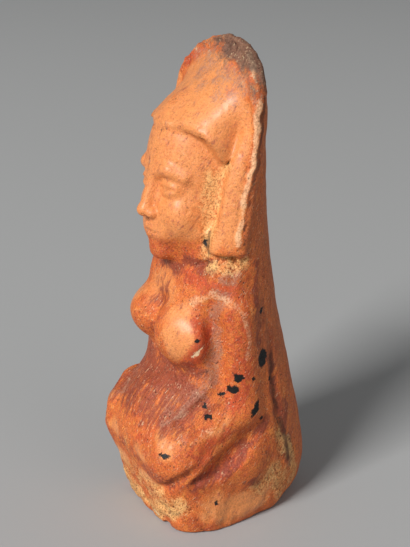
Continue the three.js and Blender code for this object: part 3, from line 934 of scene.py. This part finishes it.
def terracotta():
    sheet = Sheet("burnished terracotta")
    broad = sheet.swing(14)
    patch = sheet.swing(4.5, 5, 0.65)
    bloom = sheet.swing(3, 5, 0.65, sheet.turned((1, 2, 0.5)))
    mottle = sheet.swing(1.5, 5, 0.7)
    freckle = sheet.swing(0.9, 4, 0.7, sheet.turned((0.4, 1.1, 2)))
    fleck = sheet.swing(0.7, 3, 0.65)
    grain = sheet.swing(0.4, 2, 0.6)
    upright = sheet.swing(1, 4, 0.6, sheet.turned((0, 0, 0), (0.6, 0.6, 0.07)))
    slanted = sheet.swing(1, 4, 0.6, sheet.turned((-0.96, 0, 0), (0.8, 0.09, 0.8)))
    scratch = sheet.swing(0.5, 3, 0.6, sheet.turned((-0.8, 0, 0), (1, 0.16, 1)))
    ragged = patch * 0.6 + mottle * 0.6
    fine = mottle * 0.5 + fleck * 0.7
    pale, ruddy, purple_and_shade, brown = (sheet.mask(name) for name in ("pale", "ruddy", "purple_and_shade", "brown"))
    buff, dust, soot, worn_and_highlight, deep = (sheet.mask(name) for name in ("buff", "dust", "soot", "worn_and_highlight", "deep"))
    calm = 1 - pale * 0.72

    layers = [
        ((bloom + fine * 0.5).between(0.0, 0.5) * 0.6, AMBER),
        # Peach: the pale tone, with painted highlights on the breasts, forearms and foot
        ((pale + ragged * 0.8).between(0.1, 0.9) * 0.85, PEACH),
        ((ruddy + ragged + fine * 0.6 + upright * 0.4).between(0.2, 1.0) * 0.8, RED),
        ((fine * 0.6 - bloom + ruddy * 0.2).between(0.1, 0.6) * calm * 0.6, MADDER),
        # Plum: the lap's own tone, with painted shade under the breasts, chin and arms
        ((purple_and_shade + ragged * 0.9 + slanted * 1.2 + fleck * 0.3).between(0.15, 1.0) * 0.85, PLUM),
        ((brown + upright * 1.2 + mottle * 0.6).between(0.2, 1.3) * 0.85, RUST),
        (brown * (upright + mottle * 0.4).between(0.1, 0.7) * 0.6, UMBER),
        ((dust + fine * 1.5 + patch * 0.4).between(0.3, 1.2) * 0.8, ROSE_GREY),
        ((buff + ragged * 0.8 + fine).between(0.25, 1.45) * 0.85, SAND),
        (fine.between(0.05, 0.4) * calm * 0.8, UMBER),
        ((freckle + slanted * 0.3).between(0.15, 0.45) * (1 - buff) * 0.45, ROSE),
        ((fleck * 0.4 - scratch - freckle * 0.2 + patch * 0.3).between(0.25, 0.65) * calm * 0.4, CREAM),
        ((scratch + fleck * 0.5).between(0.15, 0.5) * calm * 0.6, UMBER),
        # Honey: rubbed wear, with painted highlights along the rim, cap edge and ridges
        ((worn_and_highlight * 1.2 + fine * 0.5 + patch * 0.3).between(0.3, 1.1) * 0.7, HONEY),
        # Painted shade in grooves, creases and hollows
        ((deep + fine).between(0.45, 1.1) * 0.75, SHADE_AND_SPECK_BROWN),
        ((soot * 1.3 + patch * 0.5 + fine * 0.5).between(0.3, 1.2) * 0.8, ASH),
        (soot * (ragged + fine * 0.8).between(-0.2, 0.5) * 0.75, SHADE_AND_SPECK_BROWN),
        (soot * (fleck - mottle * 0.6).between(0.3, 0.6) * 0.5, CREAM),
    ]
    colour = sheet.mix((broad * 0.5 + ragged).between(-0.4, 0.5), ORANGE, EMBER)
    for share, paint in layers:
        colour = sheet.mix(share, colour, paint)
    # Random mottled brightness of the clay's own tone
    tone_mottle = 1 + (fleck * 0.55 + grain * 0.4 + mottle * 0.5) * (1 + buff * 0.8 - pale * 0.35)
    colour = sheet.mix(1.0, colour, tone_mottle, "MULTIPLY")

    specks = sheet.specks(1.7)
    pocks = (mottle * 0.6 - fleck * 0.8).between(0.42, 0.56)
    marks = [
        (specks * patch.between(-0.2, 0.2) * calm * 0.8, SHADE_AND_SPECK_BROWN),
        (pocks * (1 - broad).between(0.6, 1.2) * calm * 0.7, SHADE_AND_SPECK_BROWN),
        (sheet.blots(CHIPS) * 0.8, CREAM),
        (sheet.blots(BLOTS), BLACK),
    ]
    for share, paint in marks:
        colour = sheet.mix(share, colour, paint)

    height = grain * 0.2 + fleck * 0.4 + mottle * 0.5 - scratch * 0.5 * calm - pocks * 0.8 - specks * 0.6
    skin = sheet.node("ShaderNodeBump", {}, {"Strength": 0.8, "Distance": 0.25 * MM, "Height": height})
    sheet.set(
        Base_Color=colour,
        Roughness=0.58 - 0.14 * pale + 0.15 * buff + 0.2 * soot + mottle * 0.1,
        Specular_IOR_Level=0.35,
        Coat_Weight=(pale + mottle * 0.4).between(0.4, 1.0) * 0.35,
        Coat_Roughness=0.32,
        Normal=skin,
    )
    return sheet.material


figurine = bpy.data.objects.new("figurine_clay", figurine_mesh())
bpy.context.scene.collection.objects.link(figurine)
figurine.data.materials.append(terracotta())

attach(figurine, "root")
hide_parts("figurine")


# Studio: a pale grey floor, soft lamps and the camera

floor_mesh = bpy.data.meshes.new("floor")
floor_mesh.from_pydata([(-3, -3, 0), (3, -3, 0), (3, 3, 0), (-3, 3, 0)], [], [(0, 1, 2, 3)])
floor = bpy.data.objects.new("floor", floor_mesh)
bpy.context.scene.collection.objects.link(floor)
paper = bpy.data.materials.new("grey paper")
paper.use_nodes = True
paper_shader = paper.node_tree.nodes["Principled BSDF"]
paper_shader.inputs["Base Color"].default_value = (0.41, 0.41, 0.405, 1)
paper_shader.inputs["Roughness"].default_value = 0.8
floor_mesh.materials.append(paper)


def lamp(name, place, aim, size, power, colour=(1, 1, 1)):
    light = bpy.data.lights.new(name, "AREA")
    light.size = size
    light.energy = power
    light.color = colour
    body = bpy.data.objects.new(name, light)
    body.location = place
    body.rotation_euler = (Vector(aim) - Vector(place)).to_track_quat("-Z", "Y").to_euler()
    bpy.context.scene.collection.objects.link(body)


lamp("key", (1.95, -4.4, 3.5), (0, 0, 0.09), 1.8, 400)
lamp("fill", (2.4, 0.4, 1.6), (0, 0, 0.09), 1.6, 8)

world = bpy.data.worlds.new("studio")
world.use_nodes = True
world.node_tree.nodes["Background"].inputs["Color"].default_value = (0.95, 0.98, 1, 1)
world.node_tree.nodes["Background"].inputs["Strength"].default_value = 0.2
bpy.context.scene.world = world

camera_data = bpy.data.cameras.new("camera")
camera_data.sensor_fit = "HORIZONTAL"
camera_data.sensor_width = 36
camera_data.lens = 107.8
camera_data.shift_x = 0.0271
camera_data.shift_y = 0.0388
camera = bpy.data.objects.new("camera", camera_data)
camera.location = (0.3568, -0.1977, 0.2291)
AZIMUTH, ELEVATION = np.radians(62), np.radians(20)
looking = Vector((
    -np.sin(AZIMUTH) * np.cos(ELEVATION), np.cos(AZIMUTH) * np.cos(ELEVATION), -np.sin(ELEVATION),
))
camera.rotation_euler = looking.to_track_quat("-Z", "Y").to_euler()
bpy.context.scene.collection.objects.link(camera)
bpy.context.scene.camera = camera
bpy.context.scene.view_settings.view_transform = "Standard"
